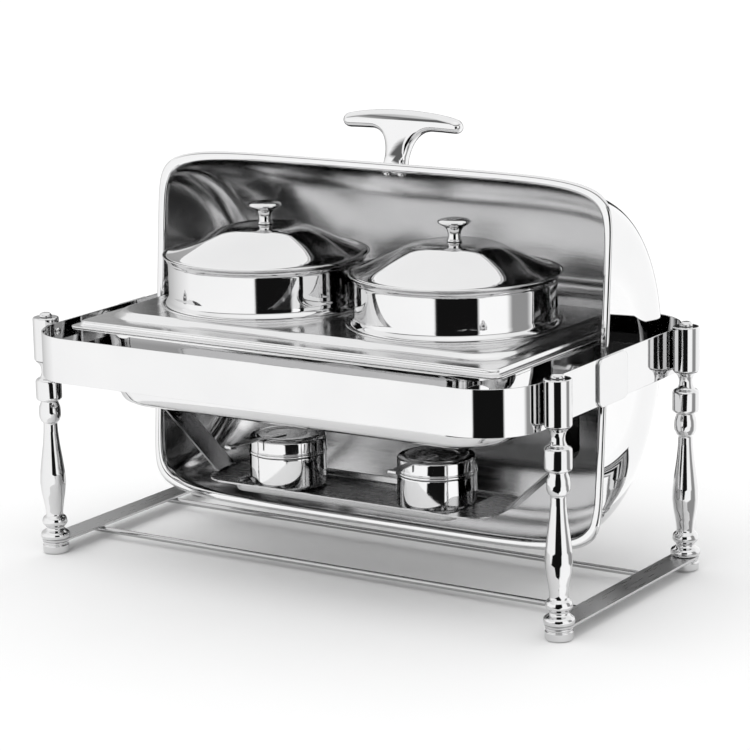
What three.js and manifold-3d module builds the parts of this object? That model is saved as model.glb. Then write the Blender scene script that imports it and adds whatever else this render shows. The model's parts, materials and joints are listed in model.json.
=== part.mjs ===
// Roll top chafer: a band frame on four turned legs, a water pan with an adapter plate and two
// round pots with lids, a fuel tray with two burners, and a cover that rolls back on two pivots.
// Millimetres, +Z up, X along the long side, -Y to the front. The origin is on the table, midway
// between the four legs. The cover stands open, leaning a little back from upright.

import * as THREE from 'three';
import * as BufferGeometryUtils from 'three/addons/utils/BufferGeometryUtils.js';
import Module from 'manifold-3d';

const wasm = await Module();
wasm.setup();

// ---------------------------------------------------------------- driving dimensions

const GAP = 0.3;              // running gap between pieces that touch
const SHEET = 1.5;            // sheet thickness of covers, pots and band
const ROUND = 28;             // segments round a large turned part
const SMALL_ROUND = 12;       // segments round a small turned part

const LEG_X = 316.5;          // leg axes from the centre
const LEG_Y = 136.5;
const LEG_TOP = 263.3;
const LEG_HEAD_R = 14.1;
const LEG_HEAD_BOTTOM = 215.7;
const STUD_R = 3;
const STUD_TOP = 30.5;

const BAND_X = 302;           // outer half length, half depth and corner radius of the band
const BAND_Y = 202;
const BAND_CORNER = 62;
const BAND_BOTTOM = 210.3;
const BAND_TOP = 258.5;
const BAND_SCREW_Z = 249;

const BAR_WIDTH = 29;
const BAR_BOTTOM = 13.1;
const BAR_TOP = 15.6;
const ROD_R = 3.15;
const ROD_Y = 68;
const ROD_Z = 9.6;
const ROD_HALF_LENGTH = 318;

const PIVOT_Z = 235;          // cover pivot height; the pivot axis runs along X at y = 0
const PIVOT_R = 5;
const BUSH_R = 17;
const BUSH_INNER_X = 290.2;
const PLATE_COVER_HALF = 30;  // half width of the square plate over each pivot

const COVER_LEAN = 4.84 * Math.PI / 180;   // open cover leans back from upright
const COVER_DROP = 21.8;      // distance from the pivot axis to the plane of the cover's rim
const RIM_X = 286;            // outer half length and half height of the rolled rim
const RIM_Z = 196;
const SHELL_X = 278.1;        // outer half length, half height and depth of the shell
const SHELL_Z = 188.1;
const SHELL_DEPTH = 166.4;
const SHELL_POWER_X = 6.3;    // squareness of the shell along and across
const SHELL_POWER_Z = 14.9;
const RIM_FRONT = 3;          // the rolled rim stands this far in front of the rim plane
const RIM_BACK = 2.5;
const ARM_INNER_X = 286.8;
const ARM_THICKNESS = 3;
const ARM_HALF_WIDTH = 13;
const ARM_REACH = 40;         // how far the arm reaches behind the rim plane
const HANDLE_ROOT_Z = 183.5;  // handle foot on the shell, in the cover's own frame
const HANDLE_ROOT_DEPTH = 36.8;
const HANDLE_TILT = 15 * Math.PI / 180;   // the stem stands square to the shell
const HANDLE_SCREW_X = 9;

const PAN_RIM_X = 265;        // outer half length and depth of the pan rim and adapter plate
const PAN_RIM_Y = 162.5;
const PAN_RIM_BOTTOM = 260;
const PAN_RIM_TOP = 261.1;
const PAN_BOTTOM = 177;

const POT_X = 119;            // pot axes from the centre
const POT_WALL_R = 106;
const POT_BODY_R = 100;
const POT_HOLE_R = 102.5;
const PLATEAU_Z = 275;
const POT_LIP = 329;
const LID_TOP = 359;

const BRACKET_X = 256;        // inner face of the pan bracket
const BRACKET_HALF_WIDTH = 42;
const BRACKET_THICKNESS = 2.5;

const TRAY_X = 180;
const TRAY_Y = 50;
const TRAY_TOP = 81;
const TRAY_SHEET = 2;
const WELL_X = 140;
const WELL_FLOOR = 74;
const STRAP_HALF_WIDTH = 17;
const STRAP_X = 255.7;        // outer face of the upright part of each tray strap
const STRAP_BEND_Z = 147;
const STRAP_TOP = 227;
const RIVET_Z = 219;

const BURNER_X = 95;
const BURNER_Y = -3;
const BURNER_BOTTOM = 74.3;
const BURNER_R = 42.2;
const BURNER_TOP = 129.6;
const DAMPER_R = 34;
const DAMPER_REACH = 84;
const DAMPER_ANGLE = { left: -106, right: -92 };

// ---------------------------------------------------------------- materials

const FINISHES = {
  polished: { color: 0xd9dbde, roughness: 0.12 },
  satin: { color: 0xb9bbbe, roughness: 0.38 },
  dark: { color: 0x8d8f93, roughness: 0.3 },
};

function finish(name) {
  return new THREE.MeshStandardMaterial({ ...FINISHES[name], metalness: 1 });
}

// ---------------------------------------------------------------- solid helpers

function clean(geometry) {
  const bare = geometry.index ? geometry.toNonIndexed() : geometry.clone();
  for (const name of Object.keys(bare.attributes)) {
    if (name !== 'position') bare.deleteAttribute(name);
  }
  return dropSlivers(BufferGeometryUtils.mergeVertices(bare, 1e-4));
}

function dropSlivers(geometry) {
  const index = geometry.index.array;
  const kept = [];
  for (let i = 0; i < index.length; i += 3) {
    const [a, b, c] = [index[i], index[i + 1], index[i + 2]];
    if (a !== b && b !== c && c !== a) kept.push(a, b, c);
  }
  geometry.setIndex(kept);
  return geometry;
}

function toManifold(geometry) {
  const merged = clean(geometry);
  return new wasm.Manifold(new wasm.Mesh({
    numProp: 3,
    vertProperties: new Float32Array(merged.attributes.position.array),
    triVerts: new Uint32Array(merged.index.array),
  }));
}

function fromManifold(solid) {
  const mesh = solid.getMesh();
  const geometry = new THREE.BufferGeometry();
  geometry.setAttribute('position', new THREE.BufferAttribute(new Float32Array(mesh.vertProperties), 3));
  geometry.setIndex(new THREE.BufferAttribute(new Uint32Array(mesh.triVerts), 1));
  return geometry;
}

function cut(geometry, ...tools) {
  let solid = toManifold(geometry);
  for (const tool of tools) solid = solid.subtract(toManifold(tool));
  return fromManifold(solid);
}

function join(geometry, ...others) {
  let solid = toManifold(geometry);
  for (const other of others) solid = solid.add(toManifold(other));
  return fromManifold(solid);
}

// A lathe about +Z. The profile is a list of [radius, z] and closes on the axis or on itself.
function turned(profile, segments) {
  const points = profile.map(([radius, z]) => new THREE.Vector2(radius, z));
  const geometry = new THREE.LatheGeometry(points, segments);
  geometry.rotateX(Math.PI / 2);
  return facingOut(geometry);
}

function facingOut(geometry) {
  const solid = clean(geometry);
  const position = solid.attributes.position;
  const [a, b, c] = [new THREE.Vector3(), new THREE.Vector3(), new THREE.Vector3()];
  let volume = 0;
  for (let i = 0; i < solid.index.count; i += 3) {
    a.fromBufferAttribute(position, solid.index.getX(i));
    b.fromBufferAttribute(position, solid.index.getX(i + 1));
    c.fromBufferAttribute(position, solid.index.getX(i + 2));
    volume += a.dot(b.cross(c));
  }
  if (volume < 0) solid.setIndex([...solid.index.array].reverse());
  return solid;
}

// A cylinder along X from x0 to x1, used for pins, holes and screws.
function pinX(radius, x0, x1, y, z, segments = SMALL_ROUND) {
  const geometry = new THREE.CylinderGeometry(radius, radius, Math.abs(x1 - x0), segments);
  geometry.rotateZ(Math.PI / 2);
  geometry.translate((x0 + x1) / 2, y, z);
  return geometry;
}

function pinZ(radius, x, y, z0, z1, segments = ROUND) {
  const geometry = new THREE.CylinderGeometry(radius, radius, z1 - z0, segments);
  geometry.rotateX(Math.PI / 2);
  geometry.translate(x, y, (z0 + z1) / 2);
  return geometry;
}

function box(low, high) {
  const geometry = new THREE.BoxGeometry(high[0] - low[0], high[1] - low[1], high[2] - low[2]);
  geometry.translate((low[0] + high[0]) / 2, (low[1] + high[1]) / 2, (low[2] + high[2]) / 2);
  return geometry;
}

function roundedRectangle(halfX, halfY, radius, path = new THREE.Shape()) {
  path.moveTo(halfX, -halfY + radius);
  path.lineTo(halfX, halfY - radius);
  path.absarc(halfX - radius, halfY - radius, radius, 0, Math.PI / 2);
  path.lineTo(-halfX + radius, halfY);
  path.absarc(-halfX + radius, halfY - radius, radius, Math.PI / 2, Math.PI);
  path.lineTo(-halfX, -halfY + radius);
  path.absarc(-halfX + radius, -halfY + radius, radius, Math.PI, 1.5 * Math.PI);
  path.lineTo(halfX - radius, -halfY);
  path.absarc(halfX - radius, -halfY + radius, radius, 1.5 * Math.PI, 2 * Math.PI);
  return path;
}

function slab(shape, z0, z1, curveSegments = 6) {
  const geometry = new THREE.ExtrudeGeometry(shape, { depth: z1 - z0, bevelEnabled: false, curveSegments });
  geometry.translate(0, 0, z0);
  return facingOut(geometry);
}

// A closed loop of points round a rounded rectangle at height z, the same count for every radius.
function rectangleLoop([halfX, halfY, radius, z], cornerSteps = 5) {
  const loop = [];
  const corners = [[1, 1, 0], [-1, 1, 1], [-1, -1, 2], [1, -1, 3]];
  for (const [signX, signY, quarter] of corners) {
    for (let step = 0; step <= cornerSteps; step += 1) {
      const angle = (quarter + step / cornerSteps) * Math.PI / 2;
      const x = signX * (halfX - radius) + radius * Math.cos(angle);
      const y = signY * (halfY - radius) + radius * Math.sin(angle);
      loop.push(new THREE.Vector3(x, y, z));
    }
  }
  return loop;
}

// Joins loops of equal length into one skin and closes its two ends with fans.
function loft(loops) {
  const positions = [];
  const push = (...points) => points.forEach((point) => positions.push(point.x, point.y, point.z));
  const count = loops[0].length;
  for (let row = 0; row + 1 < loops.length; row += 1) {
    for (let i = 0; i < count; i += 1) {
      const j = (i + 1) % count;
      push(loops[row][i], loops[row][j], loops[row + 1][j]);
      push(loops[row][i], loops[row + 1][j], loops[row + 1][i]);
    }
  }
  for (const [loop, forward] of [[loops[0], false], [loops[loops.length - 1], true]]) {
    const centre = loop.reduce((sum, point) => sum.add(point), new THREE.Vector3()).divideScalar(count);
    for (let i = 0; i < count; i += 1) {
      const [a, b] = forward ? [loop[i], loop[(i + 1) % count]] : [loop[(i + 1) % count], loop[i]];
      push(centre, a, b);
    }
  }
  const geometry = new THREE.BufferGeometry();
  geometry.setAttribute('position', new THREE.Float32BufferAttribute(positions, 3));
  return facingOut(geometry);
}

// ---------------------------------------------------------------- scene graph

const chafer = new THREE.Group();
const cover = new THREE.Group();
cover.position.set(0, 0, PIVOT_Z);
cover.rotation.x = -COVER_LEAN;
chafer.add(cover);

function piece(name, geometry, look, parent = chafer, place = [0, 0, 0]) {
  const mesh = new THREE.Mesh(geometry, finish(look));
  mesh.name = name;
  mesh.position.set(...place);
  parent.add(mesh);
  return mesh;
}

const SIDES = [['left', -1], ['right', 1]];
const CORNERS = [
  ['front_left', -1, -1],
  ['front_right', 1, -1],
  ['rear_left', -1, 1],
  ['rear_right', 1, 1],
];

// ---------------------------------------------------------------- stand

function makeBand() {
  const outline = roundedRectangle(BAND_X, BAND_Y, BAND_CORNER);
  outline.holes.push(roundedRectangle(BAND_X - SHEET, BAND_Y - SHEET, BAND_CORNER - SHEET, new THREE.Path()));
  const holes = [];
  for (const [, sign] of SIDES) {
    const [inner, outer] = [sign * (BAND_X - 5), sign * (BAND_X + 5)];
    holes.push(pinX(PIVOT_R + GAP, inner, outer, 0, PIVOT_Z));
    for (const y of [-LEG_Y, LEG_Y]) holes.push(pinX(2.8, inner, outer, y, BAND_SCREW_Z));
  }
  piece('frame_band', cut(slab(outline, BAND_BOTTOM, BAND_TOP), ...holes), 'polished');
}

// Turned post from the side bar up to the leg head: flare, neck, ring, long baluster, ball, collar, neck.
const POST_PROFILE = [
  [0, STUD_TOP + 0.8], [STUD_R + GAP, STUD_TOP + 0.8], [STUD_R + GAP, BAR_TOP + GAP],
  [15.5, BAR_TOP + GAP], [16, 20], [10.6, 26], [9.6, 28], [13.5, 32], [13.5, 38], [9.6, 42],
  [10.8, 56], [14, 78], [12.6, 97], [9.4, 120], [7.4, 146.4], [11.5, 153], [11.5, 163], [9.2, 171],
  [14, 174], [14, 193], [8.6, 197.2], [6.9, 204], [9.6, 212], [13, 215.1], [0, 215.1],
];

function makeLeg(corner, signX, signY) {
  const place = [signX * LEG_X, signY * LEG_Y, 0];
  piece(`leg_post_${corner}`, turned(POST_PROFILE, SMALL_ROUND), 'polished', chafer, place);

  const boreBottom = LEG_TOP - 13;
  const head = turned([
    [0, LEG_HEAD_BOTTOM], [LEG_HEAD_R - 0.8, LEG_HEAD_BOTTOM], [LEG_HEAD_R, LEG_HEAD_BOTTOM + 1],
    [LEG_HEAD_R, LEG_TOP - 1], [LEG_HEAD_R - 0.9, LEG_TOP], [3.3, LEG_TOP], [3.3, boreBottom], [0, boreBottom],
  ], 16);
  const screwBore = pinX(2.8, -signX * (LEG_HEAD_R + 1), -signX * 6, 0, BAND_SCREW_Z);
  piece(`leg_head_${corner}`, cut(head, screwBore), 'polished', chafer, place);

  const capScrew = turned([
    [0, boreBottom + 1], [STUD_R, boreBottom + 1], [STUD_R, LEG_TOP + GAP], [6.8, LEG_TOP + GAP],
    [6.5, LEG_TOP + 2], [5, LEG_TOP + 3.8], [2.6, LEG_TOP + 4.8], [0, LEG_TOP + 5],
  ], SMALL_ROUND);
  piece(`leg_cap_screw_${corner}`, capScrew, 'polished', chafer, place);

  const ferruleTop = BAR_BOTTOM - GAP;
  const ferrule = turned([
    [0, 0], [13.4, 0], [14.4, 1], [14.4, ferruleTop - 1], [13.6, ferruleTop], [STUD_R, ferruleTop],
    [STUD_R, STUD_TOP], [0, STUD_TOP],
  ], 16);
  piece(`foot_ferrule_${corner}`, ferrule, 'polished', chafer, place);

  const headInnerX = signX * (BAND_X - SHEET - GAP);
  const bandScrew = join(
    pinX(2.5, headInnerX + signX * -1, signX * (LEG_X - 7), signY * LEG_Y, BAND_SCREW_Z, 12),
    pinX(4.2, headInnerX, headInnerX - signX * 2.6, signY * LEG_Y, BAND_SCREW_Z, 12),
  );
  piece(`band_screw_${corner}`, bandScrew, 'polished');
}

function makeSideBar(side, sign) {
  const half = BAR_WIDTH / 2;
  const shape = roundedRectangle(half, LEG_Y + half, half - 0.01);
  for (const y of [-LEG_Y, LEG_Y]) {
    shape.holes.push(new THREE.Path().absarc(0, y, STUD_R + GAP, 0, 2 * Math.PI));
  }
  piece(`side_bar_${side}`, slab(shape, BAR_BOTTOM, BAR_TOP), 'satin', chafer, [sign * LEG_X, 0, 0]);
}

function makeCrossRod(name, y) {
  piece(`cross_rod_${name}`, pinX(ROD_R, -ROD_HALF_LENGTH, ROD_HALF_LENGTH, y, ROD_Z, 12), 'polished');
}

function makePivot(side, sign) {
  const inX = (distance) => sign * distance;
  const bushOuterX = BAND_X - SHEET - GAP;
  const plateShape = roundedRectangle(PLATE_COVER_HALF, (BAND_TOP - BAND_BOTTOM) / 2 + 0.8, 8);
  const plate = new THREE.ExtrudeGeometry(plateShape, {
    depth: 2, bevelEnabled: true, bevelThickness: 0.25, bevelSize: 0.5, bevelOffset: -0.5, bevelSegments: 1,
    curveSegments: 3,
  });
  plate.rotateX(Math.PI / 2);
  plate.rotateZ(Math.PI / 2);
  const bounds = new THREE.Box3().setFromBufferAttribute(plate.attributes.position);
  const innerEdge = sign > 0 ? bounds.min.x : bounds.max.x;
  plate.translate(inX(BAND_X + GAP) - innerEdge, 0, (BAND_TOP + BAND_BOTTOM) / 2 - 1);
  piece(`pivot_cover_plate_${side}`, facingOut(plate), 'polished');

  const bush = cut(
    pinX(BUSH_R, inX(BUSH_INNER_X), inX(bushOuterX), 0, PIVOT_Z, 32),
    pinX(PIVOT_R + GAP, inX(BUSH_INNER_X - 2), inX(bushOuterX + 2), 0, PIVOT_Z),
  );
  piece(`pivot_bush_${side}`, bush, 'polished');

  const shaftInnerX = BRACKET_X;
  piece(`pivot_shaft_${side}`, pinX(PIVOT_R, inX(shaftInnerX), inX(BAND_X - GAP), 0, PIVOT_Z), 'dark');

  const nutX = BRACKET_X + BRACKET_THICKNESS + GAP;
  const nut = cut(
    pinX(9, inX(nutX), inX(nutX + 6), 0, PIVOT_Z, 6),
    pinX(PIVOT_R + GAP, inX(nutX - 2), inX(nutX + 8), 0, PIVOT_Z),
  );
  piece(`pivot_nut_${side}`, nut, 'polished');
}

// Hangs on the pivot shaft and carries the water pan's rim on its top flange.
function makePanBracket(side, sign) {
  const top = PAN_RIM_BOTTOM - GAP;
  const xs = (a, b) => [Math.min(sign * a, sign * b), Math.max(sign * a, sign * b)];
  const [web0, web1] = xs(BRACKET_X, BRACKET_X + BRACKET_THICKNESS);
  const [flange0, flange1] = xs(BRACKET_X, BRACKET_X + 10);
  const web = box([web0, -BRACKET_HALF_WIDTH, 213], [web1, BRACKET_HALF_WIDTH, top]);
  const flange = box([flange0, -BRACKET_HALF_WIDTH, top - BRACKET_THICKNESS], [flange1, BRACKET_HALF_WIDTH, top]);
  const drill = [sign * (BRACKET_X - 3), sign * (BRACKET_X + 6)];
  const holes = [
    pinX(PIVOT_R + GAP, ...drill, 0, PIVOT_Z),
    pinX(2.5, ...drill, 0, RIVET_Z),
  ];
  piece(`pan_bracket_${side}`, cut(join(web, flange), ...holes), 'satin');
}

// ---------------------------------------------------------------- fuel tray and burners

function strapOutline() {
  const bend = 0.45 * TRAY_SHEET;
  const shape = new THREE.Shape();
  shape.moveTo(TRAY_X - 6, TRAY_TOP - TRAY_SHEET);
  shape.lineTo(TRAY_X + bend, TRAY_TOP - TRAY_SHEET);
  shape.lineTo(STRAP_X, STRAP_BEND_Z - bend);
  shape.lineTo(STRAP_X, STRAP_TOP);
  shape.lineTo(STRAP_X - TRAY_SHEET, STRAP_TOP);
  shape.lineTo(STRAP_X - TRAY_SHEET, STRAP_BEND_Z + bend / 2);
  shape.lineTo(TRAY_X, TRAY_TOP);
  shape.lineTo(TRAY_X - 6, TRAY_TOP);
  return shape;
}

function makeStrap(sign) {
  const geometry = slab(strapOutline(), -STRAP_HALF_WIDTH, STRAP_HALF_WIDTH);
  geometry.rotateX(Math.PI / 2);
  if (sign < 0) geometry.rotateZ(Math.PI);
  return facingOut(geometry);
}

function makeFuelTray() {
  const ears = slab(roundedRectangle(TRAY_X, TRAY_Y, 30), TRAY_TOP - TRAY_SHEET, TRAY_TOP);
  const wellOuter = slab(roundedRectangle(WELL_X, TRAY_Y, 16), WELL_FLOOR - TRAY_SHEET, TRAY_TOP);
  const wellInner = slab(roundedRectangle(WELL_X - 2, TRAY_Y - 2, 14), WELL_FLOOR, TRAY_TOP + 2);
  const rivetHoles = SIDES.map(([, sign]) => pinX(2.5, sign * (STRAP_X - 5), sign * (STRAP_X + 3), 0, RIVET_Z));
  const tray = join(ears, wellOuter, makeStrap(1), makeStrap(-1));
  piece('fuel_tray', cut(tray, wellInner, ...rivetHoles), 'satin');
}

function makeHangerRivet(side, sign) {
  const tailX = BRACKET_X + BRACKET_THICKNESS + GAP;
  const headX = STRAP_X - TRAY_SHEET - GAP;
  const rivet = join(
    pinX(2.2, sign * (headX - 0.5), sign * (tailX + 0.5), 0, RIVET_Z, 12),
    pinX(4, sign * (headX - 1.4), sign * headX, 0, RIVET_Z, 12),
    pinX(4, sign * tailX, sign * (tailX + 1.6), 0, RIVET_Z, 12),
  );
  piece(`hanger_rivet_${side}`, rivet, 'polished');
}

function makeBurner(side, sign) {
  const place = [sign * BURNER_X, BURNER_Y, 0];
  const seam = 111.7;
  const neckR = BURNER_R - 2.8;
  const body = turned([
    [0, BURNER_BOTTOM], [39, BURNER_BOTTOM], [41.8, 76.6], [BURNER_R, 79], [BURNER_R, seam - 0.9],
    [neckR, seam - 0.5], [neckR, 121], [neckR - 1.3, 121], [neckR - 1.3, 77.5], [36, 75.7], [0, 75.7],
  ], ROUND);
  piece(`burner_body_${side}`, body, 'polished', chafer, place);

  const mouth = DAMPER_R - 9;
  const recess = DAMPER_R + 0.6;
  const cap = turned([
    [neckR + GAP, seam], [BURNER_R + 1, seam], [BURNER_R + 1, seam + 4], [BURNER_R, seam + 4.8],
    [BURNER_R, BURNER_TOP - 1.2], [BURNER_R - 1.2, BURNER_TOP],
    [recess, BURNER_TOP], [recess, BURNER_TOP - 1.3], [mouth, BURNER_TOP - 1.3], [mouth, BURNER_TOP - 2.7],
    [BURNER_R - 1.4, BURNER_TOP - 2.7], [BURNER_R - 1.4, seam + 4.2], [neckR + GAP, seam + 3.6], [neckR + GAP, seam],
  ], ROUND);
  const slot = box([-0.8, -BURNER_R - 2, 119.5], [0.8, -BURNER_R + 3, BURNER_TOP + 1]);
  slot.rotateZ(-4 * Math.PI / 180);
  piece(`burner_cap_${side}`, cut(cap, slot), 'polished', chafer, place);

  const discBottom = BURNER_TOP - 1.3 + GAP;
  const leverBottom = BURNER_TOP + GAP;
  const leverTop = leverBottom + 1.2;
  const disc = pinZ(DAMPER_R, 0, 0, discBottom, leverTop);
  const lever = box([0, -6, leverBottom], [DAMPER_REACH, 6, leverTop]);
  const hook = box([DAMPER_REACH - 2, -6, leverBottom - 3], [DAMPER_REACH, 6, leverTop]);
  const damper = join(disc, lever, hook);
  damper.rotateZ(DAMPER_ANGLE[side] * Math.PI / 180);
  piece(`burner_damper_${side}`, damper, 'dark', chafer, place);
}

// ---------------------------------------------------------------- pan, plate, pots and lids

function makeWaterPan() {
  const wallTop = PAN_RIM_BOTTOM - 3;
  const wall = 1.2;
  const outer = [
    [224, 130, 42, PAN_BOTTOM], [233, 139, 50, PAN_BOTTOM + 2.2], [239, 145, 55, PAN_BOTTOM + 8],
    [241.5, 147.5, 56, PAN_BOTTOM + 17], [247, 153, 58, wallTop], [250, 155, 58, PAN_RIM_BOTTOM],
    [PAN_RIM_X, PAN_RIM_Y, 12, PAN_RIM_BOTTOM], [PAN_RIM_X, PAN_RIM_Y, 12, PAN_RIM_TOP],
  ];
  const inner = [
    [250, 155, 58, PAN_RIM_TOP], [247 - wall, 153 - wall, 57, wallTop],
    [241.5 - wall, 147.5 - wall, 55, PAN_BOTTOM + 17], [239 - wall, 145 - wall, 54, PAN_BOTTOM + 9],
    [233 - wall, 139 - wall, 49, PAN_BOTTOM + 3.4], [224, 130, 42, PAN_BOTTOM + wall],
  ];
  piece('water_pan', loft([...outer, ...inner].map((row) => rectangleLoop(row))), 'polished');
}

function makeAdapterPlate() {
  const bottom = PAN_RIM_TOP + GAP;
  const rows = [
    [236.8, 121.8, 39, PLATEAU_Z - 1.6], [244.8, 129.8, 44, 266.6], [255.9, 153.4, 9, 266],
    [257.4, 154.9, 9, bottom], [PAN_RIM_X, PAN_RIM_Y, 10, bottom], [PAN_RIM_X, PAN_RIM_Y, 10, 263],
    [259, 156.5, 10, 263.3], [257.5, 155, 10, 267.6], [246, 131, 45, 268.2], [238, 123, 40, PLATEAU_Z],
  ];
  const plate = loft(rows.map((row) => rectangleLoop(row)));
  const holes = SIDES.map(([, sign]) => pinZ(POT_HOLE_R, sign * POT_X, 0, PAN_RIM_TOP - 10, PLATEAU_Z + 10));
  piece('adapter_plate', cut(plate, ...holes), 'satin');
}

function makePot(side, sign) {
  const place = [sign * POT_X, 0, 0];
  const seat = PLATEAU_Z + GAP;
  const inner = POT_WALL_R - SHEET;
  const pot = turned([
    [0, 190], [92, 190], [98, 193], [POT_BODY_R, 200], [POT_BODY_R, seat], [110.3, seat],
    [POT_WALL_R, seat + 8], [POT_WALL_R, POT_LIP - 9], [107.6, POT_LIP - 7.2], [108.2, POT_LIP - 5],
    [111.8, POT_LIP - 1.6], [112, POT_LIP], [110, POT_LIP - 0.2], [106, POT_LIP - 5],
    [inner, POT_LIP - 8], [inner, seat + 8], [POT_BODY_R - SHEET, seat + 3], [POT_BODY_R - SHEET, 200],
    [97, 194.2], [91.5, 191.5], [0, 191.5],
  ], ROUND);
  piece(`pot_${side}`, pot, 'polished', chafer, place);

  const lid = turned([
    [2.8, LID_TOP], [22, LID_TOP - 0.1], [36, LID_TOP - 1], [47, LID_TOP - 3.6], [57, LID_TOP - 8.1], [70, 344.6],
    [84, 337.2], [97, 331.6], [105, POT_LIP + 0.3], [108.4, POT_LIP], [107.8, POT_LIP - 1.2], [104.4, POT_LIP - 1],
    [96.4, 330.2], [84, 335.4], [70, 342.8], [57, LID_TOP - 9.9], [46.5, LID_TOP - 5.2], [36, LID_TOP - 2.6],
    [22, LID_TOP - 1.6], [2.8, LID_TOP - 1.6], [2.8, LID_TOP],
  ], ROUND);
  piece(`lid_${side}`, lid, 'polished', chafer, place);

  const knobBottom = LID_TOP + GAP;
  const knob = turned([
    [0, 370], [2.3, 370], [2.3, knobBottom], [8.2, knobBottom], [8.2, knobBottom + 1.6], [6.9, knobBottom + 3],
    [6.9, 369], [7.6, 372], [10.4, 375.4], [14.6, 377.6], [17.8, 379.6], [16.4, 382.2], [9.5, 383.6], [0, 384],
  ], 16);
  piece(`lid_knob_${side}`, knob, 'polished', chafer, place);

  const screwTop = LID_TOP - 1.6 - GAP;
  const screw = turned([
    [0, screwTop - 2.6], [4.4, screwTop - 2.2], [5, screwTop - 1], [5, screwTop], [2, screwTop], [2, 368.5], [0, 368.5],
  ], SMALL_ROUND);
  piece(`knob_screw_${side}`, screw, 'polished', chafer, place);
}

// ---------------------------------------------------------------- cover, in its own frame
// The cover's frame has its origin on the pivot axis, +Z up along the open rim and +Y into the shell.

// Half outline of a rounded box: x runs from -halfX to halfX, and reach is the share of the
// half height and of the depth that is left there.
function shellStation(step, steps, halfX) {
  const angle = (step / steps - 0.5) * Math.PI;
  const x = Math.sign(angle) * halfX * Math.abs(Math.sin(angle)) ** (2 / SHELL_POWER_X);
  const isPole = step === 0 || step === steps;
  return { x, reach: isPole ? 0 : Math.cos(angle) ** (2 / SHELL_POWER_Z) };
}

// One skin of the shell: rows run round the barrel from the lower rim to the upper rim.
function shellSkin(halfX, halfZ, depth, stations, turns) {
  const rows = [];
  for (let step = 0; step <= stations; step += 1) {
    const { x, reach } = shellStation(step, stations, halfX);
    const row = [];
    for (let turn = 0; turn <= turns; turn += 1) {
      const angle = (turn / turns - 0.5) * Math.PI;
      const y = COVER_DROP + depth * reach * Math.cos(angle);
      row.push(new THREE.Vector3(x, y, halfZ * reach * Math.sin(angle)));
    }
    rows.push(row);
  }
  return rows;
}

// The closed loop of a skin's rim, or of the same outline at another size and depth.
function rimLoop(halfX, halfZ, depth, stations) {
  const upper = [];
  const lower = [];
  for (let step = 0; step <= stations; step += 1) {
    const { x, reach } = shellStation(step, stations, halfX);
    upper.push(new THREE.Vector3(x, COVER_DROP + depth, halfZ * reach));
    lower.push(new THREE.Vector3(x, COVER_DROP + depth, -halfZ * reach));
  }
  return [...upper, ...lower.reverse().slice(1, -1)];
}

function quad(positions, a, b, c, d) {
  for (const point of [a, b, c, a, c, d]) positions.push(point.x, point.y, point.z);
}

function pushSkin(positions, rows, flip) {
  for (let i = 0; i + 1 < rows.length; i += 1) {
    for (let j = 0; j + 1 < rows[i].length; j += 1) {
      const corners = [rows[i][j], rows[i + 1][j], rows[i + 1][j + 1], rows[i][j + 1]];
      quad(positions, ...(flip ? corners.reverse() : corners));
    }
  }
}

function pushLoops(positions, loops) {
  const count = loops[0].length;
  for (let row = 0; row + 1 < loops.length; row += 1) {
    for (let i = 0; i < count; i += 1) {
      const j = (i + 1) % count;
      quad(positions, loops[row][i], loops[row][j], loops[row + 1][j], loops[row + 1][i]);
    }
  }
}

function solidFrom(positions) {
  const geometry = new THREE.BufferGeometry();
  geometry.setAttribute('position', new THREE.Float32BufferAttribute(positions, 3));
  return facingOut(geometry);
}

const STATIONS = 24;
const TURNS = 16;

function coverShell() {
  const positions = [];
  const [innerX, innerZ] = [SHELL_X - SHEET, SHELL_Z - SHEET];
  pushSkin(positions, shellSkin(SHELL_X, SHELL_Z, SHELL_DEPTH, STATIONS, TURNS), false);
  pushSkin(positions, shellSkin(innerX, innerZ, SHELL_DEPTH - SHEET, STATIONS, TURNS), true);
  pushLoops(positions, [
    rimLoop(SHELL_X, SHELL_Z, 0, STATIONS),
    rimLoop(SHELL_X + 1.5, SHELL_Z + 1.5, RIM_BACK, STATIONS),
    rimLoop(RIM_X - 1.5, RIM_Z - 1.5, RIM_BACK, STATIONS),
    rimLoop(RIM_X, RIM_Z, 0.6, STATIONS),
    rimLoop(RIM_X, RIM_Z, -1.2, STATIONS),
    rimLoop(RIM_X - 1.5, RIM_Z - 1.5, -RIM_FRONT, STATIONS),
    rimLoop(SHELL_X + 1.2, SHELL_Z + 1.2, -RIM_FRONT, STATIONS),
    rimLoop(innerX, innerZ, -1.6, STATIONS),
    rimLoop(innerX, innerZ, 0, STATIONS),
  ]);
  return solidFrom(positions);
}

// The solid space inside the shell's outer skin, a gap larger: it trims what stands on the shell.
function coverEnvelope() {
  const positions = [];
  const loop = rimLoop(SHELL_X + GAP, SHELL_Z + GAP, 0, STATIONS);
  const centre = new THREE.Vector3(0, COVER_DROP, 0);
  pushSkin(positions, shellSkin(SHELL_X + GAP, SHELL_Z + GAP, SHELL_DEPTH + GAP, STATIONS, TURNS), false);
  for (let i = 0; i < loop.length; i += 1) {
    const next = loop[(i + 1) % loop.length];
    for (const point of [centre, loop[i], next]) positions.push(point.x, point.y, point.z);
  }
  return solidFrom(positions);
}

// Places geometry made with +Z along the handle's stem at the handle's foot on the shell.
function atHandleRoot(geometry) {
  geometry.rotateX(-HANDLE_TILT);
  geometry.translate(0, COVER_DROP + HANDLE_ROOT_DEPTH, HANDLE_ROOT_Z);
  return geometry;
}

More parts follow.
